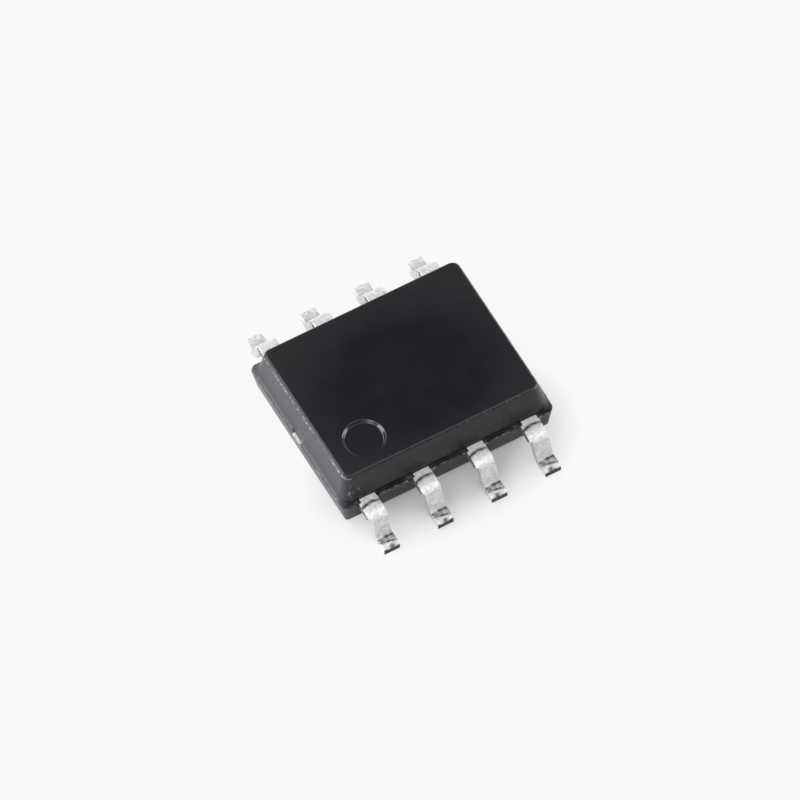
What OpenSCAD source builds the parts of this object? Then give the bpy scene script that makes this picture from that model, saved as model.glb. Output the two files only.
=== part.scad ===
// Eight-lead small-outline integrated circuit (SOIC-8 / SOP-8 package).
//
// A copper leadframe carries a silicon die.  Eight bond wires join the die to
// the leads, and a drafted epoxy body is moulded round it all.  The mould parts
// level with the top of the leads, where the lower half of the body stands out
// past the upper half as a narrow ledge.  The leads leave the body through this
// ledge and are formed into gull wings that stand on the seating plane.  The
// trimmed dam bar has left a wider stub on each lead, outside the ledge.
//
// Millimetres.  The origin is on the seating plane under the middle of the
// body.  +X runs along the body, leads 1 to 4 are on the -Y side, +Z is up.

/* [Moulded body] */
// Length of the upper half at the parting plane
body_l = 4.90; // [4.80:0.01:5.00]
// Width of the upper half at the parting plane
body_w = 3.92; // [3.82:0.01:4.00]
// Gap between the seating plane and the underside
standoff = 0.10; // [0.05:0.01:0.20]
// Depth of the lower half, from the parting plane to the underside
lower_h = 0.62; // [0.58:0.01:0.72]
// Height of the upper half, from the parting plane to the top face
upper_h = 0.73; // [0.68:0.01:0.85]
// Draft of the upper walls, in degrees from vertical
upper_draft = 11.5; // [7:0.5:12.5]
// Draft of the lower walls, in degrees from vertical
lower_draft = 10; // [5:0.5:11]
// Width of the ledge along the sides that carry leads
side_ledge = 0.09; // [0.04:0.01:0.12]
// Width of the ledge at the two ends
end_ledge = 0.06; // [0.03:0.01:0.10]
// Radius of the upper half's corners at the parting plane
upper_corner_r = 0.26; // [0.24:0.01:0.32]
// Radius of the lower half's corners at the parting plane
lower_corner_r = 0.18; // [0.16:0.01:0.28]
// Radius along the edge of the top face
top_edge_r = 0.08; // [0.03:0.01:0.10]
// Radius along the edge of the underside
bottom_edge_r = 0.05; // [0.02:0.01:0.07]

/* [First lead mark] */
// Diameter of the round dimple at its rim
mark_d = 0.92; // [0.70:0.01:1.00]
// Depth of the dimple
mark_depth = 0.06; // [0.03:0.01:0.10]
// Slope of the dimple's wall, in degrees from vertical
mark_slope = 42; // [20:1:50]
// Distance from the end of the body to the middle of the dimple
mark_from_end = 0.975; // [0.90:0.005:1.20]
// Distance from the side of the body to the middle of the dimple
mark_from_side = 0.85; // [0.80:0.01:1.10]

/* [Leads] */
// Distance between neighbouring leads
pitch = 1.27; // [1.22:0.01:1.30]
// Overall span across the lead tips
span = 6.00; // [5.90:0.01:6.20]
// Thickness of the leadframe
lead_t = 0.20; // [0.17:0.01:0.23]
// Width of a lead
lead_w = 0.37; // [0.33:0.01:0.42]
// Width of the stub left by the trimmed dam bar
stub_w = 0.43; // [0.43:0.01:0.50]
// How far a stub sits to one side of its lead
stub_shift = 0.02; // [0:0.005:0.03]
// Part of the upper bend that the stub follows, in degrees
stub_turn = 44; // [25:1:50]
// Inner radius of both bends
bend_r = 0.10; // [0.08:0.01:0.13]
// Slope of the leg, in degrees from horizontal
leg_angle = 66; // [60:1:75]
// Flat length of the foot
foot_l = 0.25; // [0.20:0.01:0.30]

/* [Inner fingers] */
// Distance from the side of the body to where a finger starts to widen
anchor_in = 0.26; // [0.20:0.01:0.32]
// Length over which a finger widens
flare_l = 0.12; // [0.08:0.01:0.16]
// Half width of a finger's tip
ear = 0.28; // [0.24:0.01:0.32]
// How far the tip of a corner finger reaches towards the middle
corner_reach = 0.55; // [0.40:0.01:0.60]
// Gap between the fingers' tips and the die paddle
finger_gap = 0.20; // [0.15:0.01:0.25]

/* [Die paddle] */
// Length of the paddle
paddle_l = 2.40; // [1.90:0.05:2.60]
// Width of the paddle
paddle_w = 1.84; // [1.60:0.02:1.90]
// How far the paddle lies below the leads
downset = 0.18; // [0.10:0.01:0.24]
// Width of the tie bars that held the paddle in its strip
tie_w = 0.30; // [0.20:0.01:0.40]
// Flat length of a tie bar beside the paddle
tie_flat = 0.12; // [0.08:0.01:0.20]
// Length over which a tie bar climbs to the level of the leads
tie_climb = 0.25; // [0.20:0.01:0.35]

/* [Die and bond wires] */
// Length of the silicon die
die_l = 1.30; // [1.00:0.05:1.60]
// Width of the silicon die
die_w = 1.00; // [0.80:0.05:1.30]
// Thickness of the silicon die
die_t = 0.25; // [0.20:0.01:0.30]
// Thickness of the adhesive under the die
attach_t = 0.02; // [0.02:0.005:0.04]
// How far the adhesive runs out past the die
attach_out = 0.06; // [0.03:0.01:0.10]
// Diameter of a bond wire
wire_d = 0.030; // [0.025:0.001:0.038]
// Diameter of the ball that welds a wire to the die
ball_d = 0.080; // [0.065:0.001:0.090]
// Height of that ball
ball_h = 0.025; // [0.020:0.001:0.030]
// Distance from the die's edges to the middle of a wire's pad
pad_in = 0.09; // [0.06:0.01:0.14]
// Distance from a finger's tip to where its wire lands
land_in = 0.15; // [0.10:0.01:0.20]
// Radius of a wire's loop as a share of the distance that it spans
loop_ratio = 0.65; // [0.60:0.01:0.80]

/* [Hidden] */

per_side = 4;
lead_count = 2 * per_side;

// Levels above the seating plane
lead_top = standoff + lower_h;        // the mould's parting plane
lead_z = lead_top - lead_t;           // underside of the leads inside the body
top_z = lead_top + upper_h;
paddle_z = lead_z - downset;
attach_z = paddle_z + lead_t;
die_z = attach_z + attach_t;
die_top = die_z + die_t;

// Lower half at the parting plane
rim_l = body_l + 2 * end_ledge;
rim_w = body_w + 2 * side_ledge;

// Gull wing, in a plane with y outwards and z up
bend_mid_r = bend_r + lead_t / 2;
heel_y = span / 2 - foot_l;
leg_drop = lead_z - 2 * bend_mid_r * (1 - cos(leg_angle));
leg_l = leg_drop / sin(leg_angle);
wing_run = 2 * bend_mid_r * sin(leg_angle) + leg_l * cos(leg_angle);
shoulder_l = heel_y - wing_run - rim_w / 2;

// Fingers inside the body
anchor_y = body_w / 2 - anchor_in;
tip_y = paddle_w / 2 + finger_gap;
land_y = tip_y + land_in;

// The corner finger's wire lands midway along the reach
land_shift = corner_reach / 2;

past_rim = 0.05;                      // how far a cut runs out past the rim
wire_cut = 3;                         // larger than any wire
arc_fn = 48;
wire_fn = 16;

// Place of lead n along its own side, counted anticlockwise from above
function along(n) = (1.5 - (n - 1) % per_side) * pitch;
function is_corner(n) = abs(along(n)) > pitch;

// Turns its child to the side of the body that lead n is on
module on_side(n) {
    rotate([0, 0, n <= per_side ? 180 : 0]) children();
}

// Slice of a disc between two angles less than 180 degrees apart
module pie(r, a0, a1) {
    reach = 2 * r;
    intersection() {
        circle(r, $fn = arc_fn);
        polygon([[0, 0], for (a = [a0, (a0 + a1) / 2, a1]) reach * [cos(a), sin(a)]]);
    }
}

module ring_sector(r_in, r_out, a0, a1) {
    difference() {
        pie(r_out, a0, a1);
        circle(r_in, $fn = arc_fn);
    }
}

// Section of a drafted wall h high, from a corner's axis out to the face, with
// a radius along its far edge
module wall_section(r, h, draft, edge_r) {
    edge_x = r - h * tan(draft) - edge_r * tan(45 - draft / 2);
    edge_z = h - edge_r;
    polygon([[0, 0], [r, 0],
             [edge_x + edge_r * cos(draft), edge_z + edge_r * sin(draft)],
             [edge_x, edge_z], [edge_x, h], [0, h]]);
    translate([edge_x, edge_z]) pie(edge_r, draft, 90);
}

// Half of the mould's cavity: l by w at the parting plane, with drafted walls
// and rounded corners
module cavity_half(l, w, h, r, draft, edge_r) {
    cx = l / 2 - r;
    cy = w / 2 - r;
    for (k = [0:3])
        rotate([0, 0, 90 * k])
            translate(k % 2 == 0 ? [cx, cy, 0] : [cy, cx, 0]) {
                rotate_extrude(angle = 90, $fn = arc_fn)
                    wall_section(r, h, draft, edge_r);
                rotate([90, 0, 0])
                    linear_extrude(k % 2 == 0 ? 2 * cy : 2 * cx)
                        wall_section(r, h, draft, edge_r);
            }
    translate([-cx, -cy, 0]) cube([2 * cx, 2 * cy, h]);
}

// The body as the mould's two halves shape it
module moulded_block() {
    translate([0, 0, lead_top]) {
        cavity_half(body_l, body_w, upper_h, upper_corner_r, upper_draft, top_edge_r);
        mirror([0, 0, 1])
            cavity_half(rim_l, rim_w, lower_h, lower_corner_r, lower_draft, bottom_edge_r);
    }
}

module first_lead_dimple() {
    over = 0.02;                      // clears the top face
    grow = tan(mark_slope);
    translate([mark_from_end - body_l / 2, mark_from_side - body_w / 2, top_z - mark_depth])
        cylinder(h = mark_depth + over, d1 = mark_d - 2 * mark_depth * grow,
                 d2 = mark_d + 2 * over * grow, $fn = arc_fn);
}

// The part of a lead that the body holds, from out_y in to its tip.  The wider
// tip keys the lead into the resin.
module finger(n, out_y) {
    s = sign(along(n));
    half = lead_w / 2;
    inward = is_corner(n) ? corner_reach : ear;
    translate([along(n), 0, lead_z])
        linear_extrude(lead_t)
            scale([s, 1])
                polygon([[-half, out_y], [-half, anchor_y],
                         [-inward, anchor_y - flare_l], [-inward, tip_y],
                         [ear, tip_y], [ear, anchor_y - flare_l],
                         [half, anchor_y], [half, out_y]]);
}

// Stands a section with y outwards and z up on the line of lead n, or to one
// side of it
module lead_strip(n, w, shift = 0) {
    translate([along(n) + shift, 0, 0])
        rotate([90, 0, 90])
            linear_extrude(w, center = true) children();
}

// Shoulder and first part of the upper bend, as wide as the dam bar's stub
module stub(n) {
    lead_strip(n, stub_w, stub_shift)
        translate([rim_w / 2, lead_z]) {
            square([shoulder_l, lead_t]);
            translate([shoulder_l, -bend_r])
                ring_sector(bend_r, bend_r + lead_t, 90 - stub_turn, 90);
        }
}

// Rest of the upper bend, sloping leg, lower bend and foot
module leg_and_foot(n) {
    lead_strip(n, lead_w) {
        translate([rim_w / 2, lead_z])
            translate([shoulder_l, -bend_r]) {
                ring_sector(bend_r, bend_r + lead_t, 90 - leg_angle, 90 - stub_turn);
                rotate(90 - leg_angle)
                    translate([bend_r, -leg_l]) square([lead_t, leg_l]);
            }
        translate([heel_y, 0]) {
            translate([0, bend_r + lead_t])
                ring_sector(bend_r, bend_r + lead_t, 270 - leg_angle, 270);
            square([foot_l, lead_t]);
        }
    }
}

module lead(n) {
    color("#c4c6ca")
        on_side(n) {
            finger(n, rim_w / 2);
            stub(n);
            leg_and_foot(n);
        }
}

// Plate under the die, with a tie bar that climbs to the level of the leads and
// runs out to out_x at each end
module paddle_and_ties(out_x) {
    tie_x = paddle_l / 2;
    climb_x = tie_x + tie_flat;
    level_x = climb_x + tie_climb;
    translate([-tie_x, -paddle_w / 2, paddle_z]) cube([paddle_l, paddle_w, lead_t]);
    for (turn = [0, 180])
        rotate([0, 0, turn])
            rotate([90, 0, 0])
                linear_extrude(tie_w, center = true)
                    polygon([[tie_x, paddle_z], [climb_x, paddle_z],
                             [level_x, lead_z], [out_x, lead_z],
                             [out_x, lead_top], [level_x, lead_top],
                             [climb_x, attach_z], [tie_x, attach_z]]);
}

module die_paddle() {
    color("#b9764a") paddle_and_ties(rim_l / 2);
}

module die_attach() {
    l = die_l + 2 * attach_out;
    w = die_w + 2 * attach_out;
    color("#c9c2ae")
        translate([-l / 2, -w / 2, attach_z]) cube([l, w, attach_t]);
}

module silicon_die() {
    color("#5b6472")
        translate([-die_l / 2, -die_w / 2, die_z]) cube([die_l, die_w, die_t]);
}

// Ball on the die, then a loop of wire down to the finger of lead n
module bond_wire(n) {
    s = sign(along(n));
    from = [along(n) / (1.5 * pitch) * (die_l / 2 - pad_in), die_w / 2 - pad_in];
    to = [along(n) - (is_corner(n) ? s * land_shift : 0), land_y];
    run = norm(to - from);
    fall = die_top + ball_h - lead_top;
    chord = norm([run, fall]);
    loop_r = loop_ratio * chord;
    drop = sqrt(loop_r * loop_r - chord * chord / 4);
    mid = [run / 2 - drop * fall / chord, -fall / 2 - drop * run / chord];
    past = wire_d / loop_r * 180 / PI;
    a_from = atan2(-mid[1], -mid[0]) + past;
    a_to = atan2(-fall - mid[1], run - mid[0]) - past;
    color("#d9a441")
        on_side(n)
            translate([from[0], from[1], die_top]) {
                cylinder(d = ball_d, h = ball_h, $fn = arc_fn);
                rotate([0, 0, atan2(to[1] - from[1], to[0] - from[0])])
                    translate([0, 0, ball_h])
                        difference() {
                            translate([mid[0], 0, mid[1]])
                                rotate([90, 0, 0])
                                    rotate([0, 0, a_to])
                                        rotate_extrude(angle = a_from - a_to, $fn = arc_fn)
                                            translate([loop_r, 0]) circle(d = wire_d, $fn = wire_fn);
                            translate([-wire_cut, -wire_cut / 2, -wire_cut])
                                cube([wire_cut + run / 2, wire_cut, wire_cut]);
                            translate([run / 2, -wire_cut / 2, -fall - wire_cut])
                                cube([wire_cut, wire_cut, wire_cut]);
                        }
            }
}

// The body, with room for everything that it was moulded round
module package_body() {
    color("#2a2b30")
        difference() {
            moulded_block();
            first_lead_dimple();
            for (n = [1:lead_count]) {
                on_side(n) finger(n, rim_w / 2 + past_rim);
                bond_wire(n);
            }
            paddle_and_ties(rim_l / 2 + past_rim);
            die_attach();
            silicon_die();
        }
}

package_body();
lead(1);  // lead_1
lead(2);  // lead_2
lead(3);  // lead_3
lead(4);  // lead_4
lead(5);  // lead_5
lead(6);  // lead_6
lead(7);  // lead_7
lead(8);  // lead_8
die_paddle();
die_attach();
silicon_die();
bond_wire(1);  // bond_wire_1
bond_wire(2);  // bond_wire_2
bond_wire(3);  // bond_wire_3
bond_wire(4);  // bond_wire_4
bond_wire(5);  // bond_wire_5
bond_wire(6);  // bond_wire_6
bond_wire(7);  // bond_wire_7
bond_wire(8);  // bond_wire_8
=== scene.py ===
# %% [markdown]
# # An eight-lead surface-mount chip
# A small black block of moulded epoxy stands on eight metal leads that are bent
# like gull wings. The construction model already fixes every size, so this lesson
# only builds what the eye sees: a smoother body with soft, slightly chipped edges,
# leads with rolled edges and cut ends, and a finish for each material.
# %% Load the construction model
import bpy, bmesh
from math import cos, exp, pi, radians, sin, tan
from mathutils import Matrix, Vector, noise


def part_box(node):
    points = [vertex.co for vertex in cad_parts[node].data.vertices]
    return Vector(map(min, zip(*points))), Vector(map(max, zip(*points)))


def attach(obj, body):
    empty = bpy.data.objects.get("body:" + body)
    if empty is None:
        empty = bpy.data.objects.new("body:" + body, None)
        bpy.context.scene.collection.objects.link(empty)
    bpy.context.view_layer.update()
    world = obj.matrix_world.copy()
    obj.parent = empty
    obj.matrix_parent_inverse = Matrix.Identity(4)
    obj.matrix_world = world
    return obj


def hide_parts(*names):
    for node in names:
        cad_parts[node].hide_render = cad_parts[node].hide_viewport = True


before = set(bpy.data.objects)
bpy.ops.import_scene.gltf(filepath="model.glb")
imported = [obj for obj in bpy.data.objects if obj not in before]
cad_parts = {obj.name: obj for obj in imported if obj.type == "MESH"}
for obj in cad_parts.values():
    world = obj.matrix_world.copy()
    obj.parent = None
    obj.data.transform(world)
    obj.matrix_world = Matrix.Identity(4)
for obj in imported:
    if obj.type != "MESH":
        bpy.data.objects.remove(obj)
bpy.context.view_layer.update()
scene = bpy.context.scene
MM = 0.001


# %% [markdown]
# ## Sizes
# Boxes of the construction nodes give the places. Drafts, radii and the widths of
# the leads can't be read from a box, so they are written here once, in millimetres.
# X runs along the body, and leads 1 to 4 stand on its front side, towards -Y.
# %% Sizes in millimetres
body_low, body_high = (Vector(c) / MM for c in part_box("package_body"))
lead_low, lead_high = (Vector(c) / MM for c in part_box("lead_1"))
rim_x, rim_y = body_high.x, body_high.y      # outer edge of the ledge
underside, top_z = body_low.z, body_high.z
parting = lead_high.z                        # the mould parts level with the leads' tops
tip_y = -lead_low.y
side_ledge, end_ledge = 0.09, 0.06
wall_x, wall_y = rim_x - end_ledge, rim_y - side_ledge
upper_draft, lower_draft = radians(11.5), radians(10)
upper_corner, lower_corner = 0.25, 0.18
corner_keep = 0.5                            # share of the draft that spares the corners
top_edge, bottom_edge = 0.08, 0.05
plating_stands = 0.006                       # plated metal stands proud of the resin
ledge_z = parting - plating_stands
pitch, lead_t, lead_w = 1.27, 0.20, 0.37
stub_w, stub_shift = 0.43, 0.02              # what the trimmed dam bar leaves
bend_r, leg_angle, stub_turn, foot_l = 0.10, radians(66), radians(44), 0.25
tie_w = 0.30
lead_places = [(k - 1.5) * pitch for k in range(4)]
print("rim", rim_x, rim_y, "heights", underside, parting, top_z, "tips at", tip_y)

# %% [markdown]
# ## Camera
# The chip is seen from above its front side, turned a little to the left, through a
# very long lens, so that parallel edges stay almost parallel. The camera's three
# axes are worked out from two angles and a small roll, then put in one matrix.
# %% Camera
def unit_axes(azimuth, elevation, roll):
    """Right, up and backward axes of something that looks at the chip from there."""
    a, e, r = radians(azimuth), radians(elevation), radians(roll)
    back = Vector((sin(a) * cos(e), -cos(a) * cos(e), sin(e)))
    right = Vector((cos(a), sin(a), 0))
    up = back.cross(right)
    return right * cos(r) + up * sin(r), up * cos(r) - right * sin(r), back


camera_data = bpy.data.cameras.new("camera")
camera_data.sensor_width, camera_data.lens = 36, 812.6
camera_data.clip_start, camera_data.clip_end = 0.01, 10
camera = bpy.data.objects.new("camera", camera_data)
scene.collection.objects.link(camera)
right, up, back = unit_axes(-26.06, 57.0, -3.33)
aim, distance = Vector((-0.198, -0.287, 0.8)) * MM, 374 * MM
camera.matrix_world = Matrix((right, up, back)).transposed().to_4x4()
camera.location = aim + back * distance
scene.camera = camera
print("camera at", [round(c, 4) for c in camera.location])

# %% [markdown]
# ## Wiring nodes
# The world, the finishes and the shared effects are all trees of nodes. One helper
# adds a node, sets it and feeds its inputs. Three short ones wrap what returns most:
# a sum on numbers, a sum on vectors, and a change from one range to another.
# %% Helpers that wire nodes together
def wire(tree, kind, settings=None, in_order=(), **by_name):
    """Adds a node, sets it, and links or sets its inputs, in order or by name."""
    node = tree.nodes.new(kind)
    for key, value in (settings or {}).items():
        setattr(node, key, value)
    pairs = list(zip(node.inputs, in_order))
    pairs += [(node.inputs[key.replace("_", " ")], value) for key, value in by_name.items()]
    for socket, value in pairs:
        if isinstance(value, bpy.types.NodeSocket):
            tree.links.new(value, socket)
        elif socket.type == "RGBA":
            socket.default_value = (*value, 1)
        else:
            socket.default_value = value
    return node


def number(tree, operation, *values):
    return wire(tree, "ShaderNodeMath", {"operation": operation}, values).outputs["Value"]


def vector(tree, operation, *values):
    """A sum on vectors. Three of the operations give a number and not a vector."""
    node = wire(tree, "ShaderNodeVectorMath", {"operation": operation}, values)
    gives_number = operation in ("DOT_PRODUCT", "DISTANCE", "LENGTH")
    return node.outputs["Value" if gives_number else "Vector"]


def rescale(tree, value, low, high, to_low, to_high):
    """Carries a value from one range to another, and holds it there."""
    return wire(
        tree, "ShaderNodeMapRange",
        Value=value, From_Min=low, From_Max=high, To_Min=to_low, To_Max=to_high,
    ).outputs["Result"]


# %% [markdown]
# ## The light tent
# Small parts are usually shot in a white tent. Its sides glow, a dark opening in the
# roof keeps black plastic black, and its front and rear are dimmer, which gives the
# metal something to mirror. Each dim patch is a ramp over the angle to one direction,
# and the three ramps are multiplied.
# %% World: white walls with three dim patches
scene.view_settings.view_transform = "Standard"
world = bpy.data.worlds.new("light_tent")
scene.world = world
world.use_nodes = True
tree = world.node_tree
tree.nodes.clear()
direction = wire(tree, "ShaderNodeTexCoord").outputs["Generated"]


def dim_patch(towards, edge, middle, level):
    """White everywhere, and dim around one direction. edge and middle are cosines."""
    turn = vector(tree, "DOT_PRODUCT", direction, towards)
    ramp = wire(tree, "ShaderNodeValToRGB", Fac=turn)
    ramp.color_ramp.interpolation = "EASE"
    stops = zip(ramp.color_ramp.elements, (edge, middle), ((1, 1, 1), level))
    for stop, position, colour in stops:
        stop.position, stop.color = position, (*colour, 1)
    return ramp.outputs["Color"]


roof = dim_patch((0.24, 0.49, 0.84), 0.74, 0.97, (0.20, 0.20, 0.23))
front = dim_patch((0.15, -0.95, 0.28), 0.72, 0.95, (0.26, 0.26, 0.27))
rear = dim_patch((0.24, 0.94, 0.22), 0.86, 0.96, (0.30, 0.30, 0.31))
tent = vector(tree, "MULTIPLY", vector(tree, "MULTIPLY", roof, front), rear)
sky = wire(tree, "ShaderNodeBackground", Color=tent, Strength=0.80)
wire(tree, "ShaderNodeOutputWorld", Surface=sky.outputs["Background"])
print("tent wired with", len(tree.nodes), "nodes")

# %% [markdown]
# ## Lamps
# The tent alone gives hardly any shadow. A square lamp behind the chip makes one soft
# shadow in front of it. Low lamps at the left and right, and weaker ones in front and
# over the near left corner, light the rounded edges and the bends of the leads. Each
# one's power follows from its radiance, so its size can change by itself.
# %% Lamps
def softbox(name, azimuth, elevation, size, radiance, away=240):
    """A square lamp that shines at the chip. Lengths are in millimetres."""
    lamp = bpy.data.lights.new(name, "AREA")
    lamp.shape, lamp.size = "SQUARE", size * MM
    lamp.energy = radiance * pi * (size * MM) ** 2
    holder = bpy.data.objects.new(name, lamp)
    scene.collection.objects.link(holder)
    _, _, toward = unit_axes(azimuth, elevation, 0)
    holder.location = toward * away * MM
    holder.rotation_euler = toward.to_track_quat("Z", "Y").to_euler()
    holder.visible_camera = False
    print(name, "gives", round(lamp.energy, 4), "W")


softbox("lamp_behind", -150, 48, size=110, radiance=5.0)
softbox("lamp_left", -110, 15, size=150, radiance=3.8)
softbox("lamp_right", 74, 12, size=170, radiance=3.0)
softbox("lamp_front", 26, 57, size=140, radiance=1.2)
softbox("lamp_corner", -62, 36, size=110, radiance=2.3)

# %% [markdown]
# ## Starting and ending a finish
# Every finish starts from an empty material with object coordinates, so its pattern
# stays fixed to the piece and keeps its real size. Colours are mixed two at a time,
# and one surface node ends the tree.
# %% Helpers for finishes
def new_finish(name):
    """An empty material, its node tree and its object coordinates."""
    finish = bpy.data.materials.new(name)
    finish.use_nodes = True
    tree = finish.node_tree
    tree.nodes.clear()
    return finish, tree, wire(tree, "ShaderNodeTexCoord").outputs["Object"]


def two_tone(tree, factor, dark, light):
    """Mixes two colours, each plain or from another node."""
    mix = wire(tree, "ShaderNodeMix", {"data_type": "RGBA"}, Factor=factor, A=dark, B=light)
    return mix.outputs["Result"]


def surface(tree, **inputs):
    skin = wire(tree, "ShaderNodeBsdfPrincipled", **inputs)
    wire(tree, "ShaderNodeOutputMaterial", Surface=skin.outputs["BSDF"])


# %% [markdown]
# ## The floor's paper
# The floor is one sheet of white paper. In a tent, paper is lit from all around and
# looks as bright as the walls, so part of its white is a glow. The share of glow
# depends on the kind of ray. Rays from the camera see less of it in the chip's shade.
# Rays that the chip mirrors see almost none in front of it and beside it, which keeps
# its lower walls and the undersides of the bends dark.
# %% Paper
paper, tree, place = new_finish("white_paper")
fibre = wire(tree, "ShaderNodeTexNoise", Vector=place, Scale=2500, Detail=3)
tint = two_tone(tree, fibre.outputs["Fac"], (0.755, 0.755, 0.76), (0.775, 0.775, 0.78))
skin = wire(
    tree, "ShaderNodeBsdfPrincipled", Base_Color=tint, Roughness=0.9, Specular_IOR_Level=0.1,
)
rays = wire(tree, "ShaderNodeLightPath").outputs


def glow_share(ray_kinds, shade_at, squeeze, inner, outer, least, most):
    """How much glow these rays see: least inside the shade, most outside it."""
    seen = rays[ray_kinds[0]]
    for kind in ray_kinds[1:]:
        seen = number(tree, "MAXIMUM", seen, rays[kind])
    squeezed = vector(tree, "MULTIPLY", place, (squeeze, 1, 1))
    off = vector(tree, "DISTANCE", squeezed, Vector(shade_at) * MM)
    open_floor = rescale(tree, off, inner * MM, outer * MM, least, most)
    return number(tree, "MULTIPLY", seen, open_floor)


direct = glow_share(
    ["Is Camera Ray"], shade_at=(0.05, -1.5, 0), squeeze=0.68,
    inner=1.05, outer=2.15, least=0.14, most=0.93,
)
mirrored = glow_share(
    ["Is Glossy Ray", "Is Transmission Ray"], shade_at=(0.8, -3.6, 0), squeeze=1.0,
    inner=3.2, outer=6.6, least=0.0, most=0.90,
)
beside = rescale(tree, vector(tree, "LENGTH", place), 2.5 * MM, 3.15 * MM, 0.1, 1.0)
share = number(tree, "ADD", direct, number(tree, "MULTIPLY", mirrored, beside))
glow = wire(tree, "ShaderNodeEmission", Color=(0.96, 0.96, 0.965), Strength=1.0)
sheet = wire(
    tree, "ShaderNodeMixShader", None,
    (share, skin.outputs["BSDF"], glow.outputs["Emission"]),
)
wire(tree, "ShaderNodeOutputMaterial", Surface=sheet.outputs["Shader"])
print("paper wired with", len(tree.nodes), "nodes")

# %% [markdown]
# ## The floor
# A flat disc is enough. It is so wide that its edge never shows.
# %% Floor
floor_radius = 1.2       # metres
bm = bmesh.new()
bmesh.ops.create_circle(bm, cap_ends=True, segments=96, radius=floor_radius)
floor_mesh = bpy.data.meshes.new("floor")
bm.to_mesh(floor_mesh)
bm.free()
floor_mesh.materials.append(paper)
floor = bpy.data.objects.new("floor", floor_mesh)
scene.collection.objects.link(floor)
print("floor", 2 * floor_radius, "m across")

# %% [markdown]
# ## A shared effect: fine grain
# Every finish here needs small irregular marks, so they are made once in a node
# group. It gives three masks: fine noise for pits and lines, a much coarser cloud of
# the same noise for patches, and round specks. Stretch draws the marks out along one
# direction. The group gives values only, and each finish decides what they change.
# %% Node group: fine grain
grain = bpy.data.node_groups.new("fine_grain", "ShaderNodeTree")
for label, kind, value in (
    ("Place", "NodeSocketVector", (0, 0, 0)),
    ("Per metre", "NodeSocketFloat", 40000),
    ("Stretch", "NodeSocketVector", (1, 1, 1)),
):
    socket = grain.interface.new_socket(label, in_out="INPUT", socket_type=kind)
    socket.default_value = value
for label in ("Fine", "Cloud", "Specks"):
    grain.interface.new_socket(label, in_out="OUTPUT", socket_type="NodeSocketFloat")
given = grain.nodes.new("NodeGroupInput").outputs
masks = grain.nodes.new("NodeGroupOutput").inputs

cloud_share = 0.06       # clouds are this much coarser than the fine noise
drawn = vector(grain, "MULTIPLY", given["Place"], given["Stretch"])
fine = wire(
    grain, "ShaderNodeTexNoise",
    Vector=drawn, Scale=given["Per metre"], Detail=4, Roughness=0.65,
)
cloud_scale = number(grain, "MULTIPLY", given["Per metre"], cloud_share)
cloud = wire(grain, "ShaderNodeTexNoise", Vector=drawn, Scale=cloud_scale, Detail=3)
cells = wire(grain, "ShaderNodeTexVoronoi", Vector=drawn, Scale=given["Per metre"])
specks = rescale(grain, cells.outputs["Distance"], 0.05, 0.30, 1.0, 0.0)
grain.links.new(fine.outputs["Fac"], masks["Fine"])
grain.links.new(cloud.outputs["Fac"], masks["Cloud"])
grain.links.new(specks, masks["Specks"])
print("fine grain wired with", len(grain.nodes), "nodes")

# %% [markdown]
# ## Using the grain
# Three more helpers: one places the group in a finish, one reads an attribute that is
# painted on the mesh, and one turns a height between 0 and 1 into a bumped normal.
# %% Helpers that use the grain
def grained(tree, place, per_metre, stretch=(1, 1, 1)):
    return wire(
        tree, "ShaderNodeGroup", {"node_tree": grain},
        Place=place, Per_metre=per_metre, Stretch=stretch,
    ).outputs


def painted(tree, attribute):
    return wire(tree, "ShaderNodeAttribute", {"attribute_name": attribute}).outputs["Fac"]


def tooth(tree, height, strength, depth):
    """A bumped normal. depth is in metres."""
    bump = wire(tree, "ShaderNodeBump", Height=height, Strength=strength, Distance=depth)
    return bump.outputs["Normal"]


# %% [markdown]
# ## Mould compound
# The body is epoxy filled with fine silica and carbon black. The mould is eroded by
# sparks, so the resin comes out satin and evenly pitted. A painted sheen lifts its
# black towards the edges of the top, a painted reflection makes the end walls paler,
# and a few flecks of filler show. The colours are laid over each other, from the
# widest to the smallest.
# %% Mould compound: colours
resin, tree, place = new_finish("mould_compound")
pits = grained(tree, place, 38000)
patches = rescale(tree, pits["Cloud"], 0.3, 0.7, 0, 1)
colour = two_tone(tree, patches, (0.0024, 0.0024, 0.0050), (0.0060, 0.0060, 0.0088))

# painted sheen: the top's black is lifted towards its edges, most at the back
to_walls = (1 / (wall_x * MM), 1 / (wall_y * MM), 0)     # the walls then lie at 1
forwards = (0, 0.13, 0)
from_middle = vector(tree, "LENGTH", vector(tree, "MULTIPLY_ADD", place, to_walls, forwards))
height = wire(tree, "ShaderNodeSeparateXYZ", Vector=place).outputs["Z"]
on_top = rescale(tree, height, (top_z - 0.08) * MM, (top_z - 0.01) * MM, 0, 1)
painted_sheen = number(tree, "MULTIPLY", on_top, rescale(tree, from_middle, 0.62, 1.15, 0, 1))
colour = two_tone(tree, painted_sheen, colour, (0.0160, 0.0158, 0.0178))
# painted reflection: walls that face the ends are paler
colour = two_tone(tree, painted(tree, "painted_end_reflection"), colour, (0.060, 0.060, 0.071))
flecks = number(tree, "MULTIPLY", pits["Specks"], 0.25)
colour = two_tone(tree, flecks, colour, (0.030, 0.030, 0.033))
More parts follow.
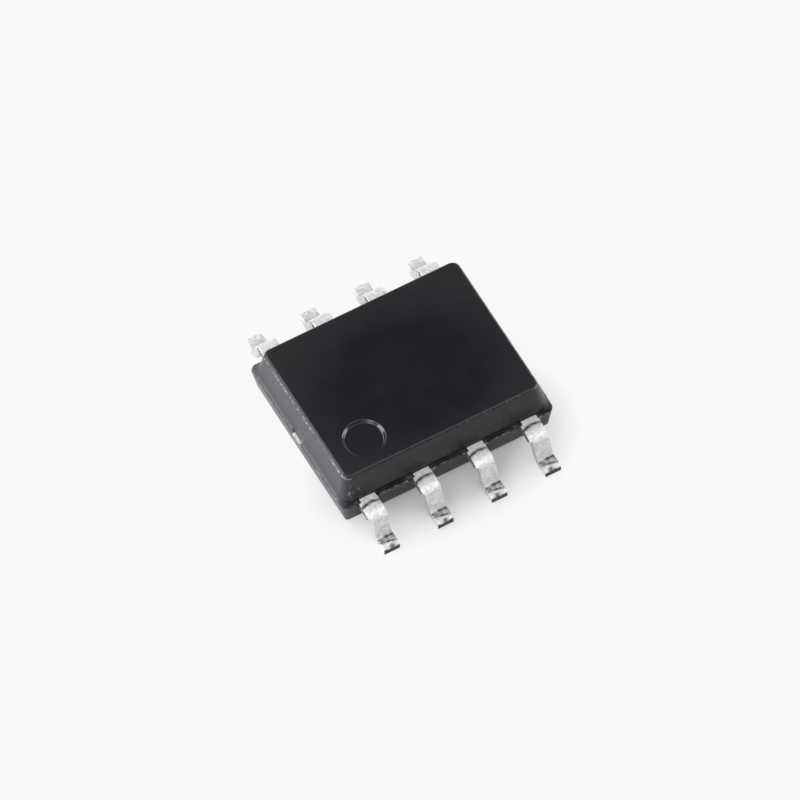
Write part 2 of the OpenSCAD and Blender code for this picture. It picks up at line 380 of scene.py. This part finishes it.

# %% [markdown]
# ## Worn resin and painted highlights
# Where an edge is rubbed, the pale filler shows as broken specks. The same pale colour
# also paints highlights along the rounded edges of the top and the ledge's rim. The
# mesh says how pale each place is, three scuffs beside the near left corner are added
# by distance, and a crisp noise breaks the result up.
# %% Mould compound: wear, painted highlights and surface
wear_and_highlight_mask = painted(tree, "wear_and_highlight")
for spot, reach in (
    ((-2.23, -1.91, 0.96), 0.10),
    ((-2.23, -1.86, 1.17), 0.06),
    ((-2.05, -1.90, 1.02), 0.05),
):
    off = vector(tree, "DISTANCE", place, Vector(spot) * MM)
    scuff = rescale(tree, off, 0.3 * reach * MM, reach * MM, 0.30, 0.0)
    wear_and_highlight_mask = number(tree, "MAXIMUM", wear_and_highlight_mask, scuff)
breaks = wire(
    tree, "ShaderNodeTexNoise", Vector=place, Scale=15000, Detail=3, Roughness=0.7,
)
ragged = rescale(tree, breaks.outputs["Fac"], 0.50, 0.57, 0, 1)
# pale filler where worn, and painted highlights along the edges
colour = two_tone(tree, number(tree, "MULTIPLY", ragged, wear_and_highlight_mask), colour, (0.72, 0.72, 0.70))
surface(
    tree, Base_Color=colour, IOR=1.47,
    Roughness=rescale(tree, pits["Fine"], 0.3, 0.7, 0.26, 0.34),
    Normal=tooth(tree, pits["Fine"], 0.25, 0.000006),
)
print("mould compound wired with", len(tree.nodes), "nodes")

# %% [markdown]
# ## Polished resin
# The pin that forms the dimple is turned and polished, so the resin inside comes out
# glossy. A thin clear coat gives the wall of the dimple its two bright arcs.
# %% Finish inside the dimple
polished, tree, place = new_finish("polished_compound")
swirl = grained(tree, place, 20000)
surface(
    tree, IOR=1.5, Coat_Weight=0.6, Coat_Roughness=0.1,
    Base_Color=two_tone(
        tree, swirl["Cloud"], (0.0062, 0.0062, 0.0085), (0.0086, 0.0086, 0.0112),
    ),
    Roughness=rescale(tree, swirl["Cloud"], 0.3, 0.7, 0.12, 0.18),
    Normal=tooth(tree, swirl["Fine"], 0.1, 0.000004),
)
print("polished resin wired with", len(tree.nodes), "nodes")

# %% [markdown]
# ## Tin plating
# The leads are copper under a matt coat of tin. The coat is mottled grey and white,
# drawing and handling leave fine lines along the strip, and its gloss comes and goes
# in dull clouds. An attribute says where tools pressed it dark, and where painted
# shade and painted reflections darken the legs and feet.
# %% Finish of the tin plating
tin, tree, place = new_finish("tin_plating")
matt = grained(tree, place, 60000)
lines = grained(tree, place, 45000, stretch=(1.0, 0.08, 0.08))
mottle = grained(tree, place, 14000)
colour = two_tone(
    tree, rescale(tree, mottle["Fine"], 0.38, 0.62, 0, 1),
    (0.67, 0.665, 0.675), (0.93, 0.925, 0.935),
)
# dark where tools pressed, and painted shade and painted reflections on the legs and feet
colour = two_tone(tree, painted(tree, "dents_and_shade"), colour, (0.06, 0.06, 0.065))
height = number(tree, "ADD", matt["Fine"], lines["Fine"])
surface(
    tree, Base_Color=colour, Metallic=0.30,
    Roughness=rescale(tree, matt["Cloud"], 0.3, 0.7, 0.36, 0.50),
    Normal=tooth(tree, height, 0.25, 0.000006),
)
print("tin plating wired with", len(tree.nodes), "nodes")

# %% [markdown]
# ## Cut ends and trimmed sides
# Shearing leaves the lead ends bare, dark and rough. The sides of the stubs, where the
# dam bar was trimmed, are bare too but burnished by the tool. Both are the same torn
# metal, so one function makes them with different colours and depths.
# %% Finishes of the cut faces
def cut_finish(name, dark, light, roughness, depth):
    finish, tree, place = new_finish(name)
    torn = grained(tree, place, 30000, stretch=(1.0, 1.0, 0.35))
    surface(
        tree, Metallic=0.8, Roughness=roughness,
        Base_Color=two_tone(tree, rescale(tree, torn["Fine"], 0.35, 0.65, 0, 1), dark, light),
        Normal=tooth(tree, torn["Fine"], 0.8, depth),
    )
    print(name, "wired with", len(tree.nodes), "nodes")
    return finish


sheared = cut_finish(
    "sheared_end", (0.022, 0.022, 0.023), (0.17, 0.165, 0.16), roughness=0.62, depth=0.000015,
)
burnished = cut_finish(
    "trimmed_side", (0.16, 0.16, 0.165), (0.46, 0.455, 0.46), roughness=0.5, depth=0.000006,
)

# %% [markdown]
# ## A rounded rectangle from a circle
# A rounded rectangle is a circle whose four quarters have been pulled apart. The
# same trick shapes the body and the section of a lead. The circle starts half a step
# round, so that no point lies on an axis and each belongs to one quarter. A second
# helper ends every piece: it merges doubled points and turns the faces outwards.
# %% Pull the quarters apart, and put a mesh in the scene
def pull_quarters(verts, dx, dy):
    """Moves each point away from both axes."""
    for v in verts:
        v.co.x += dx if v.co.x > 0 else -dx
        v.co.y += dy if v.co.y > 0 else -dy


def into_object(bm, name, *finishes):
    """Cleans the mesh, turns its faces outwards and puts it in the scene."""
    bmesh.ops.remove_doubles(bm, verts=bm.verts, dist=1e-8)
    bmesh.ops.recalc_face_normals(bm, faces=bm.faces)
    mesh = bpy.data.meshes.new(name)
    bm.to_mesh(mesh)
    bm.free()
    for finish in finishes:
        mesh.materials.append(finish)
    piece = bpy.data.objects.new(name, mesh)
    scene.collection.objects.link(piece)
    print(name, len(mesh.vertices), "points,", len(mesh.polygons), "faces")
    return piece


# %% [markdown]
# ## The moulded body
# Mould halves meet at the leads' tops, where the lower half stands out as a ledge.
# The outline of one corner is drawn from the underside to the top, with its radius
# measured from the corner's centre, so that it can be spun like a turned part.
# %% Outline of one corner
def arc(centre_r, centre_z, radius, start, end, steps):
    turns = [start + (end - start) * i / steps for i in range(steps + 1)]
    return [(centre_r + radius * cos(t), centre_z + radius * sin(t)) for t in turns]


support = 0.006          # a point beside each rounding keeps the flats flat
rim_support = 0.004
rim_r = 0.022            # rounding of the ledge's outer edge
inner_r = 0.010          # fillet where the upper wall meets the ledge
lower_h, upper_h = ledge_z - underside, top_z - ledge_z

low_c = lower_corner - lower_h * tan(lower_draft) - bottom_edge * tan(pi / 4 - lower_draft / 2)
rim_c = lower_corner - rim_r
lower = [(low_c - support, underside)]
lower += arc(low_c, underside + bottom_edge, bottom_edge, -pi / 2, -lower_draft, 5)
for drop in [0.30 - k * 0.05 for k in range(5)]:         # rings close below the rim
    lower.append((lower_corner - drop * tan(lower_draft), ledge_z - drop))
lower += arc(rim_c, ledge_z - rim_r, rim_r, -lower_draft, pi / 2, 5)
lower.append((rim_c - rim_support, ledge_z))

top_c = upper_corner - upper_h * tan(upper_draft) - top_edge * tan(pi / 4 - upper_draft / 2)
upper = arc(upper_corner + inner_r, ledge_z + inner_r, inner_r, -pi / 2, -pi - upper_draft, 4)
for rise in (0.06, 0.15, 0.3, 0.45, 0.58, 0.637):        # rings up the wall
    upper.append((upper_corner - rise * tan(upper_draft), ledge_z + rise))
upper += arc(top_c, top_z - top_edge, top_edge, upper_draft, pi / 2, 7)
upper += [(top_c - support, top_z), (top_c - 3 * support, top_z)]
print("outline points:", len(lower), "below,", len(upper), "above")

# %% [markdown]
# ## From a puck to a block
# The outline is spun into a round puck, and its quarters are pulled apart to the
# body's real size. Upper corners lean in with the walls, which keeps them rounder
# towards the top. The long walls are then split, so that wear has points to move.
# %% Spin the outline and pull the quarters apart
corner_steps, wall_cuts = 48, 150
bm = bmesh.new()
is_upper = bm.verts.layers.int.new("is_upper")
half_step = pi / corner_steps
chain = []
for r, z in lower + upper:
    v = bm.verts.new((r * MM * cos(half_step), r * MM * sin(half_step), z * MM))
    v[is_upper] = 1 if (r, z) in upper else 0
    chain.append(v)
line = [bm.edges.new(pair) for pair in zip(chain, chain[1:])]
bmesh.ops.spin(
    bm, geom=chain + line, cent=(0, 0, 0), axis=(0, 0, 1),
    angle=2 * pi, steps=corner_steps, use_merge=True,
)
for v in bm.verts:
    if v[is_upper]:
        lean = corner_keep * (v.co.z / MM - ledge_z) * tan(upper_draft)
        v.co.xy *= 1 + lean * MM / v.co.xy.length
        dx, dy = wall_x - upper_corner - lean, wall_y - upper_corner - lean
        pull_quarters([v], dx * MM, dy * MM)
below = [v for v in bm.verts if not v[is_upper]]
pull_quarters(below, (rim_x - lower_corner) * MM, (rim_y - lower_corner) * MM)
walls = [e for e in bm.edges if e.calc_length() > 1 * MM]
bmesh.ops.subdivide_edges(bm, edges=walls, cuts=wall_cuts, use_grid_fill=True)
print("walls split into", len(bm.faces), "faces")

# %% [markdown]
# ## The first-lead dimple
# A shallow round dimple marks the corner of lead 1. Its outline runs from the middle
# of its floor up a slightly convex wall to a crisp lip, and it is spun like a dish.
# %% Spin the dimple
mark_r, mark_depth, mark_slope = 0.46, 0.06, radians(42)
mark_from_end, mark_from_side = 0.975, 0.85
mark = Vector((mark_from_end - wall_x, mark_from_side - wall_y, 0))
wall_bulge = 1.2         # 1 would make the dimple's wall straight
hub_r = 0.004            # the spin leaves a small hole here, which is filled
floor_z, floor_r = top_z - mark_depth, mark_r - mark_depth * tan(mark_slope)
dish = [(hub_r, floor_z), (floor_r - 0.03, floor_z), (floor_r - 0.03 + 0.01, floor_z)]
dish += [(floor_r - 0.003, floor_z + 0.0006), (floor_r + 0.001, floor_z + 0.004)]
for run in (0.045, 0.036, 0.027, 0.018, 0.010, 0.004):   # steps from the wall's foot to the lip
    fall = mark_depth * (run / (mark_r - floor_r)) ** wall_bulge
    dish.append((mark_r - run, top_z - fall))
dish += [(mark_r + 0.001, top_z - 0.0003), (mark_r + 0.005, top_z), (mark_r + 0.012, top_z)]

rims = [e for e in bm.edges if e.is_boundary]
top_rim = [e for e in rims if e.verts[0].co.z > parting * MM]
bottom_rim = [e for e in rims if e.verts[0].co.z < parting * MM]
dish_verts = [bm.verts.new(((mark.x + r) * MM, mark.y * MM, z * MM)) for r, z in dish]
dish_line = [bm.edges.new(pair) for pair in zip(dish_verts, dish_verts[1:])]
body_faces = set(bm.faces)
bmesh.ops.spin(
    bm, geom=dish_verts + dish_line, cent=mark * MM, axis=(0, 0, 1),
    angle=2 * pi, steps=96, use_merge=True,
)
for f in set(bm.faces) - body_faces:
    f.material_index = 1
print("dimple", 2 * mark_r, "mm across and", mark_depth, "mm deep")

# %% [markdown]
# ## Top and underside
# The flat top is filled between the dimple's lip and the body's outline, which leaves
# the hole open. The middle of the dimple and the underside are single faces.
# %% Fill the flat faces
dish_rims = [e for e in bm.edges if e.is_boundary and e not in top_rim and e not in bottom_rim]
from_mark = {e: (e.verts[0].co.xy - mark.xy * MM).length for e in dish_rims}
hub_ring = [e for e in dish_rims if from_mark[e] < 0.1 * MM]
lip_ring = [e for e in dish_rims if from_mark[e] >= 0.1 * MM]
for f in bmesh.ops.contextual_create(bm, geom=hub_ring)["faces"]:
    f.material_index = 1
bmesh.ops.contextual_create(bm, geom=bottom_rim)
bmesh.ops.triangle_fill(bm, edges=top_rim + lip_ring, use_beauty=True, normal=(0, 0, 1))
print("open edges left:", sum(e.is_boundary for e in bm.edges))

# %% [markdown]
# ## Worn edges and painted highlights
# Trimming breaks thin resin off the ledge beside the leads, and handling rubs the
# edges of the top. Points near those edges move in a little with a fixed noise, and
# an attribute tells the finish how pale each point is, from wear and from painted
# highlights. First come the measures that say where a point lies.
# %% Where a point lies
def clamp(value):
    return min(1.0, max(0.0, value))


def near(value, level, reach):
    """1 at a level, falling evenly to 0 at the reach."""
    return max(0.0, 1 - abs(value - level) / reach)


def hump(value, middle, width):
    """1 in the middle of a smooth hump, and almost 0 two widths away."""
    return exp(-((value - middle) / width) ** 2)


def broken_beside_leads(x, y):
    """How far the rim has sunk where thin resin broke off on both sides of a lead."""
    side = 1 if y > 0 else -1
    sunk = 0.0
    for lead_x in lead_places:
        u = (x - lead_x) * side
        sunk += 0.055 * hump(u, 0.31, 0.07) + 0.03 * hump(u, -0.25, 0.05)
    return sunk


def outside_wall(x, y):
    """Distance outside the upper half's outline, and how much the wall faces the end."""
    dx = max(abs(x) - wall_x + upper_corner, 0.0)
    dy = max(abs(y) - wall_y + upper_corner, 0.0)
    away = max((dx * dx + dy * dy) ** 0.5, 1e-6)
    return away - upper_corner, (dx / away) ** 2


# %% [markdown]
# ## The chipped rim
# Along the ledge's rim the resin is thin. It has chipped beside the leads, and it is a
# little uneven everywhere. A pale line along the rim is a painted highlight, and the
# back left corner of the ledge is painted pale, as a painted highlight too. Each of
# the functions for wear and painted highlights treats one point.
# %% Chip the rim and paint its highlights
wear_and_highlight = bm.verts.layers.float.new("wear_and_highlight")
off_wall = 0.012         # a point this far out lies on the ledge or below it
rim_z, rim_reach = ledge_z - 0.015, 0.055            # the band that chips
side_rough, end_rough = 0.008, 0.010
# painted highlight: the pale line along the rim
lip_w = 0.035            # width of the pale line along the rim


def chip_rim(v, x, y, z, ragged):
    rim = near(z, rim_z, rim_reach)
    on_side, on_end = abs(y) > wall_y + off_wall, abs(x) > wall_x + off_wall
    if not rim or not (on_side or on_end):
        return
    broken = broken_beside_leads(x, y) if on_side else 0.0
    v.co.z -= rim * (broken * (0.8 + ragged) + side_rough * ragged) * MM
    if on_end:
        way = 1 if x > 0 else -1
        v.co.x -= way * near(z, ledge_z - 0.01, 0.03) * end_rough * (0.6 + ragged) * MM
    lip = near(max(abs(y) - rim_y, abs(x) - rim_x), 0.0, lip_w)
    # painted highlight along the rim, and pale filler where the rim broke beside the leads
    v[wear_and_highlight] = lip * rim * (0.22 + 0.4 * ragged + 5 * broken)
    # painted highlight that lightens the back left corner of the ledge
    if x < 0 < y:
        v[wear_and_highlight] = max(v[wear_and_highlight], 0.6 * near(x, -rim_x, 0.25) * near(y, rim_y, 0.30))


# %% [markdown]
# ## The flared ends
# At the two ends the ledge flares up into the wall, because the mould's parting edge
# is worn round there. The flare leaves the tie bar free, runs out into the front
# corners, goes on round the back ones and is highest at the back left.
# %% Flare the ends
flare_h, flare_w = 0.2, 0.09
flare_lift, corner_lift = 0.10, 0.07
run_out, tie_clear = 0.25, 0.06          # lengths over which the flare fades
most_round_corner = 6.0                  # limit of its growth round a back corner


def flare_end(v, x, y, z, out, faces_end):
    if not (ledge_z - 0.002 < z < ledge_z + flare_h and out > -0.02):
        return
    slope = near(out, 0.0, flare_w) * faces_end * clamp((abs(y) - tie_w / 2) / tie_clear)
    if y < 0:
        slope *= clamp((wall_y - upper_corner - abs(y)) / run_out + 1)
    else:
        slope *= min(most_round_corner, 1 / max(faces_end, 0.01))
    lift = flare_lift + (corner_lift * near(y, rim_y, 0.4) if x < 0 else 0.0)
    v.co.z += lift * slope * (1 - (z - ledge_z) / flare_h) * MM


# %% [markdown]
# ## The top's edges
# A painted highlight pales the edges round the top at the left end, less at the right
# end, and handling wears them a little along the two sides. The pale band lies lower
# at the left end. The top beside the dimple stays as it was moulded.
# %% Rub the top's edges and paint their highlights
end_reach = 0.30         # a point this near to a wall belongs to that end
# painted highlights at the two ends, light wear along the sides
left_end_highlight, right_end_highlight, rub_front, rub_else = 0.9, 0.5, 0.10, 0.04


def rub_top_and_paint_highlights(v, x, y, z, out, ragged):
    on_left = x < -wall_x + end_reach
    edge = near(z, top_z - 0.064, 0.032) if on_left else near(z, top_z - 0.03, 0.027)
    clear_of_mark = (Vector((x, y)) - mark.xy).length > mark_r + 0.05
    if not edge or not clear_of_mark or out <= -0.45:
        return
    if on_left:
        rub_and_highlight = left_end_highlight
    elif x > wall_x - end_reach:
        rub_and_highlight = right_end_highlight
    else:
        rub_and_highlight = rub_front if y < 0 and x > -0.2 else rub_else
    v[wear_and_highlight] = max(v[wear_and_highlight], rub_and_highlight * edge * (0.6 + 0.8 * ragged))


# %% [markdown]
# ## Wear and painted light at every point
# All three look at where the point was before any of them moved it. Ragged is a fixed
# noise of two sizes, so the same wear and painted highlights come back each time. A
# second attribute says how much the wall at a point faces the body's end, for the
# painted reflection that makes the wall paler there.
# %% Wear the body, paint its light, and put it in place
painted_end_reflection = bm.verts.layers.float.new("painted_end_reflection")
for v in bm.verts:
    point = v.co / MM
    x, y, z = point
    ragged = 0.5 * noise.noise(point * 8) + 0.5 * noise.noise(point * 24)
    chip_rim(v, x, y, z, ragged)
    lean = max(0.0, z - ledge_z) * tan(upper_draft)
    out, faces_end = outside_wall(abs(x) + lean, abs(y) + lean)
    # painted reflection on the end walls
    if underside + 0.02 < z < top_z - 0.02:
        v[painted_end_reflection] = faces_end
    flare_end(v, x, y, z, out, faces_end)
    rub_top_and_paint_highlights(v, x, y, z, out, ragged)
for f in bm.faces:
    f.smooth = True
body = into_object(bm, "moulded_body", resin, polished)
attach(body, "root")
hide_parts("package_body")

# %% [markdown]
# ## Forming a lead
# A press cuts the strip and bends it twice. Each lead is made the same way: a ring
# with rounded corners is the strip's section, and it is carried straight, spun
# round a bend, carried down the leg, and spun back into the foot.
# %% Carry, bend and widen the section
def ring_of(geom):
    return [g for g in geom if isinstance(g, bmesh.types.BMEdge)]


def verts_of(edges):
    return list(dict.fromkeys(v for e in edges for v in e.verts))


def carry(bm, ring, steps, dy, dz=0.0):
    for _ in range(steps):
        ring = ring_of(bmesh.ops.extrude_edge_only(bm, edges=ring)["geom"])
        bmesh.ops.translate(bm, verts=verts_of(ring), vec=Vector((0, dy, dz)) * MM / steps)
    return ring


def widen(bm, ring, factor, run):
    ring = carry(bm, ring, 1, run)
    for v in verts_of(ring):
        v.co.x *= factor
    return ring


def bend(bm, ring, y, z, angle, steps):
    """Spins the ring about a line along X through y and z."""
    turned = bmesh.ops.spin(
        bm, geom=ring + verts_of(ring), cent=Vector((0, y, z)) * MM, axis=(1, 0, 0),
        angle=angle, steps=steps,
    )
    return ring_of(turned["geom_last"])


# %% [markdown]
# ## The lead's section
# Stamping rolls the edges of the strip a little, so the section is a flat rounded
# rectangle. Its broad and narrow sides are split, so that marks can be pressed in.
# Where the strip starts to bend follows from the foot, the bends and the leg's slope.
# %% Stations along the strip, and its section
lead_z = parting - lead_t                    # underside of the strip at the body
mid_r = bend_r + lead_t / 2
heel_y = tip_y - foot_l
leg_drop = lead_z - 2 * mid_r * (1 - cos(leg_angle))
leg_run = leg_drop / tan(leg_angle)
shoulder_y = heel_y - 2 * mid_r * sin(leg_angle) - leg_run
roll_r = 0.016                               # rolled edges of the stamped strip
tip_roll = 0.075                             # rolled upper edge of the cut end
broad_cuts, narrow_cuts = 17, 6              # splits of the section's long and short sides


def section(bm, y, width):
    half_step = Matrix.Rotation(pi / 12, 4, "Z")
    circle = bmesh.ops.create_circle(bm, segments=12, radius=roll_r * MM, matrix=half_step)
    verts = circle["verts"]
    pull_quarters(verts, (width / 2 - roll_r) * MM, (lead_t / 2 - roll_r) * MM)
    bmesh.ops.rotate(bm, verts=verts, cent=(0, 0, 0), matrix=Matrix.Rotation(pi / 2, 3, "X"))
    bmesh.ops.translate(bm, verts=verts, vec=Vector((0, y, parting - lead_t / 2)) * MM)
    edges = list(dict.fromkeys(e for v in verts for e in v.link_edges))
    broad = [e for e in edges if e.calc_length() > 0.25 * MM]
    narrow = [e for e in edges if 0.1 * MM < e.calc_length() <= 0.25 * MM]
    bmesh.ops.subdivide_edges(bm, edges=broad, cuts=broad_cuts)
    bmesh.ops.subdivide_edges(bm, edges=narrow, cuts=narrow_cuts)
    return list(bm.edges)


print("the leads bend at", round(shoulder_y, 3), "and", round(heel_y, 3), "mm")

# %% [markdown]
# ## The gull wing
# From the body outwards the strip runs straight, steps out to the stub that the dam
# bar left, and turns down. The stub ends part of the way round that bend. The leg
# goes down at its slope and turns back into a flat foot.
# %% Carry the section from the finger to the foot
anchor_y = 1.70          # where the finger inside the resin starts to widen
stub_step = 0.012        # length over which the strip steps out to the stub
stub_end = radians(2)    # turn over which it steps back


def gull_wing(bm, ring):
    ring = carry(bm, ring, 4, rim_y - anchor_y)
    ring = widen(bm, ring, stub_w / lead_w, stub_step)
    bmesh.ops.translate(bm, verts=verts_of(ring), vec=(stub_shift * MM, 0, 0))
    ring = carry(bm, ring, 18, shoulder_y - rim_y - stub_step)
    ring = bend(bm, ring, shoulder_y, lead_z - bend_r, -stub_turn, 8)
    ring = bend(bm, ring, shoulder_y, lead_z - bend_r, -stub_end, 1)
    for v in verts_of(ring):
        v.co.x = (v.co.x - stub_shift * MM) * lead_w / stub_w
    rest = leg_angle - stub_turn - stub_end
    ring = bend(bm, ring, shoulder_y, lead_z - bend_r, -rest, 4)
    ring = carry(bm, ring, 12, leg_run, -leg_drop)
    ring = bend(bm, ring, heel_y, bend_r + lead_t, leg_angle, 12)
    return carry(bm, ring, 12, foot_l - tip_roll)


# %% [markdown]
# ## The cut tip
# The shears drag the foot's upper edge down before they break through, and tear it
# unevenly. The last stretch of the foot therefore falls along a quarter circle, with
# a fixed noise of its own on each lead, and a bare face closes it.
# %% Roll the tip and close it
def roll_tip(bm, ring, lead):
    eighth = pi / 8
    for k in range(1, 5):
        run = tip_roll * (sin(k * eighth) - sin((k - 1) * eighth))
        fall = tip_roll * (cos((k - 1) * eighth) - cos(k * eighth))
        ring = carry(bm, ring, 1, run)
        for v in verts_of(ring):
            torn = 1 + 0.9 * noise.noise(Vector((v.co.x / MM * 12, lead * 3.7, 0)))
            v.co.z -= fall * torn * MM * (v.co.z / MM / lead_t) ** 2
    for f in bmesh.ops.contextual_create(bm, geom=ring)["faces"]:
        f.material_index = 1


# %% [markdown]
# ## Pressed marks and painted reflections
# The tool that cuts the dam bar leaves a thin arched groove across the shoulder. Two
# slanted dents across the foot are painted dark as reflections in the heel's concave
# bend, with a painted shade between them, and the shears drag a dark burr over the
# rolled tip. The grooves are real dents: points near each line sink, and the finish
# darkens there.
# %% Press the marks and paint the reflections
# the first is painted shade on the outer side of the legs
leg_painted_shade, burr_dark, burr_w = 0.22, 0.7, 0.06


def press(bm, dents_and_shade, y_line, slant, arch, width, depth, levels, darkness):
    """Sinks and darkens the points near one line across the lead."""
    for v in bm.verts:
        x, y, z = v.co / MM
        if not levels[0] <= z <= levels[1]:
            continue
        u = x / (lead_w / 2)
        away = (y - y_line - slant * u - arch * u * u) / width
        uneven = noise.noise(Vector((x * 14, y_line * 7 + y * 9, z * 3)))
        sink = exp(-away * away) * (0.75 + 0.5 * uneven)
        if sink > 0.02:
            v[dents_and_shade] = min(1.0, max(v[dents_and_shade], sink * darkness))
            v.co.z -= depth * sink * MM


def press_marks_and_paint_shade(bm, dents_and_shade, lead, seen):
    """seen is how dark the marks, the painted shade and the painted reflections of this lead
    are.
    """
    for v in bm.verts:       # painted shade: the outer side of the leg is darkened
        if v.co.z / MM < parting - 0.12 and v.co.y / MM < heel_y + 0.05:
            v[dents_and_shade] = leg_painted_shade
    shoulder, foot = (parting - 0.03, parting + 0.01), (lead_t - 0.03, lead_t + 0.12)
    for y_line, slant, arch, width, depth, levels, darkness in (
        (rim_y + 0.075, 0.0, 0.040, 0.040, 0.014, shoulder, 1.0),
        # painted reflections in the heel's bend, and painted shade between them
        (tip_y - 0.272, 0.008, 0.010, 0.034, 0.010, foot, 1.05),
        (tip_y - 0.150, -0.032, 0.012, 0.034, 0.010, foot, 1.05),
        (tip_y - 0.208, -0.012, 0.012, 0.090, 0.0, foot, 0.64),
    ):
        press(bm, dents_and_shade, y_line, slant, arch, width, depth, levels, darkness * seen)
    burr_x = 0.08 * noise.noise(Vector((lead * 1.7, 0.5, 0)))
    for v in bm.verts:
        if v.co.y / MM > tip_y - 0.8 * tip_roll:
            dark = burr_dark * seen * hump(v.co.x / MM, burr_x, burr_w)
            v[dents_and_shade] = max(v[dents_and_shade], dark)


# %% [markdown]
# ## The finger in the resin
# The same strip reaches into the body, where it widens so that it can't be pulled
# out. Corner fingers reach further towards the middle, where the die is.
# %% Carry the section inwards
ear, corner_reach, flare_l, finger_y = 0.28, 0.55, 0.12, 1.12


def finger(bm, ring, middle_way, is_corner):
    """middle_way is the sign of X towards the body's middle."""
    ring = carry(bm, ring, 1, -flare_l)
    inward = corner_reach if is_corner else ear
    for v in verts_of(ring):
        x = v.co.x / MM
        reach = inward if x * middle_way > 0 else ear
        v.co.x = (1 if x > 0 else -1) * reach * min(1, abs(x) / (lead_w / 2 - roll_r)) * MM
    ring = carry(bm, ring, 2, finger_y - anchor_y + flare_l)
    bmesh.ops.contextual_create(bm, geom=ring)


# %% [markdown]
# ## Eight leads
# Every lead is formed at the middle of the back row, pointing backwards. The front
# row is turned by half a circle, and each lead is then moved to its place. The flat
# sides of the stubs get the burnished finish of the trimmed dam bar.
# %% Form, turn and place the leads
def formed_lead(lead):
    side = -1 if lead <= 4 else 1
    along = lead_places[lead - 1] if lead <= 4 else lead_places[8 - lead]
    bm = bmesh.new()
    dents_and_shade = bm.verts.layers.float.new("dents_and_shade")
    start = section(bm, anchor_y, lead_w)
    roll_tip(bm, gull_wing(bm, start), lead)
    # painted shade and reflections are darker on the front row than on the back
    press_marks_and_paint_shade(bm, dents_and_shade, lead, seen=1.3 if side < 0 else 0.3)
    finger(bm, start, middle_way=-along * side, is_corner=lead in (1, 4, 5, 8))
    if side < 0:
        half_turn = Matrix.Rotation(pi, 3, "Z")
        bmesh.ops.rotate(bm, verts=bm.verts, cent=(0, 0, 0), matrix=half_turn)
    bmesh.ops.translate(bm, verts=bm.verts, vec=Vector((along, 0, 0)) * MM)
    bm.normal_update()
    for f in bm.faces:
        f.smooth = len(f.verts) == 4
        middle = f.calc_center_median() / MM
        if abs(f.normal.x) > 0.9 and lead_w / 2 + 0.002 < abs(middle.x - along) < stub_w:
            f.material_index = 2 if abs(middle.y) > rim_y else 0
    piece = into_object(bm, f"formed_lead_{lead}", tin, sheared, burnished)
    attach(piece, "root")
    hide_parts(f"lead_{lead}")


for lead in range(1, 9):
    formed_lead(lead)

# %% [markdown]
# ## Tie ends
# The bars that held the die paddle in its strip are cut off flush at both ends of
# the body. Their plated tops lie in the ledge as two small bright slivers. Each is a
# cube scaled to a thin slab, with its edges bevelled.
# %% Tie ends
slab_l, proud = 0.16, 0.003              # length, and how far the end stands out
slab = Vector((slab_l, tie_w + 0.01, lead_t + 0.008))
for name, way in (("tie_end_left", -1), ("tie_end_right", 1)):
    bm = bmesh.new()
    bmesh.ops.create_cube(bm, size=1)
    bmesh.ops.scale(bm, verts=bm.verts, vec=slab * MM)
    seat = Vector((way * (rim_x - slab_l / 2 + proud), 0, parting - lead_t / 2 + 0.001))
    bmesh.ops.translate(bm, verts=bm.verts, vec=seat * MM)
    for f in bm.faces:
        if f.normal.x * way > 0.9:
            f.material_index = 1
    bmesh.ops.bevel(
        bm, geom=bm.edges, offset=0.003 * MM, affect="EDGES", segments=2,
        profile=0.5, material=-1,
    )
    piece = into_object(bm, name, tin, burnished)
    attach(piece, "root")

# %% [markdown]
# ## The parts inside
# The die, its adhesive, the copper paddle and the gold wires are shut in the resin.
# Their shapes come straight from the construction model, and each still gets the
# finish that it would show if the body were cut open.
# %% Finishes for the parts inside
def inner_finish(name, dark, light, metallic, roughness, per_metre, stretch=(1, 1, 1)):
    finish, tree, place = new_finish(name)
    marks = grained(tree, place, per_metre, stretch)
    surface(
        tree, Metallic=metallic, Base_Color=two_tone(tree, marks["Fine"], dark, light),
        Roughness=rescale(tree, marks["Cloud"], 0.3, 0.7, *roughness),
        Normal=tooth(tree, marks["Fine"], 0.3, 0.000004),
    )
    return finish


copper = inner_finish(
    "rolled_copper", (0.50, 0.22, 0.13), (0.72, 0.36, 0.24), metallic=1.0,
    roughness=(0.28, 0.42), per_metre=30000, stretch=(0.06, 1, 1),
)
adhesive = inner_finish(
    "silver_adhesive", (0.32, 0.31, 0.29), (0.60, 0.58, 0.54), metallic=0.6,
    roughness=(0.40, 0.60), per_metre=50000,
)
die_skin = inner_finish(
    "silicon", (0.10, 0.12, 0.16), (0.22, 0.25, 0.31), metallic=0.5,
    roughness=(0.12, 0.22), per_metre=16000,
)
gold = inner_finish(
    "gold_wire", (0.75, 0.50, 0.16), (0.95, 0.68, 0.28), metallic=1.0,
    roughness=(0.16, 0.26), per_metre=90000,
)
inner = {"die_paddle": copper, "die_attach": adhesive, "silicon_die": die_skin}
inner.update({f"bond_wire_{n}": gold for n in range(1, 9)})
for name, finish in inner.items():
    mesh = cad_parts[name].data
    mesh.materials.clear()
    mesh.materials.append(finish)
print("inner parts finished:", len(inner))
